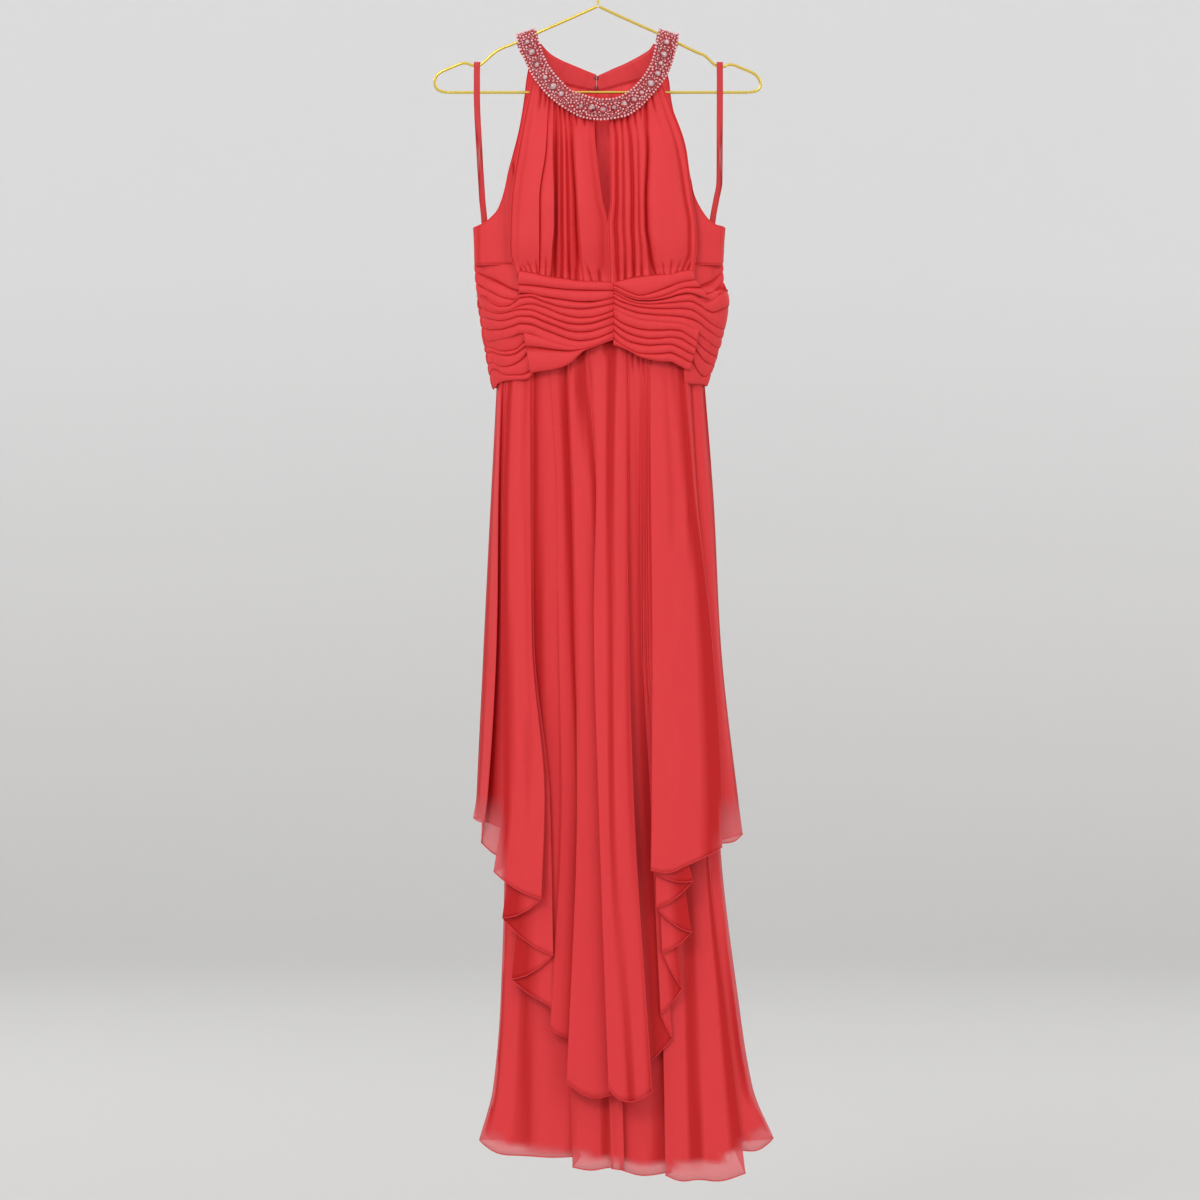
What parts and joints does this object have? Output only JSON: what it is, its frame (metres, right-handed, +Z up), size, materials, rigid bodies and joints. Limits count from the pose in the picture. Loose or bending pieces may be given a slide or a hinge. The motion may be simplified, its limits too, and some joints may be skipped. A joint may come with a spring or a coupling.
{
  "type": "high-low halter dress on a wire hanger",
  "caption": "Full-length halter dress with a beaded collar, keyhole front, tucked waistband and a cascading high-low overlay, hung by ribbon loops on a wire hanger.",
  "frame": {"origin": "inside top of the hanger hook's bow, where a rail carries it", "axes": "+Z up along the hook's stem; the dress hangs along -Z, its front faces -Y and +X is to the right seen from the front"},
  "size_m": [0.4445, 0.1135, 1.6075],
  "materials": {
    "chiffon": "matt, sheer",
    "satin": "satin",
    "beading": "pearl beads on satin",
    "gold_wire": "polished",
    "fastening": "satin"
  },
  "bodies": {
    "root": {"bodice_back_left": "satin", "bodice_back_right": "satin", "bodice_front_left": "chiffon", "bodice_front_right": "chiffon", "collar_back_left": "satin", "collar_back_right": "satin", "collar_front": "beading", "hanger_arm_left": "gold_wire", "hanger_arm_right": "gold_wire", "hanger_bar": "gold_wire", "hanger_hook": "gold_wire", "hook_eye_lower": "fastening", "hook_eye_upper": "fastening", "lining_back": "satin", "lining_front": "satin", "overlay_back": "chiffon", "overlay_front": "chiffon", "ribbon_left": "satin", "ribbon_right": "satin", "side_panel_left": "satin", "side_panel_right": "satin", "underskirt_back": "chiffon", "underskirt_front": "chiffon", "waistband_back": "chiffon", "waistband_front_left": "chiffon", "waistband_front_right": "chiffon", "waistband_side_left": "chiffon", "waistband_side_right": "chiffon"}
  },
  "joints": []
}
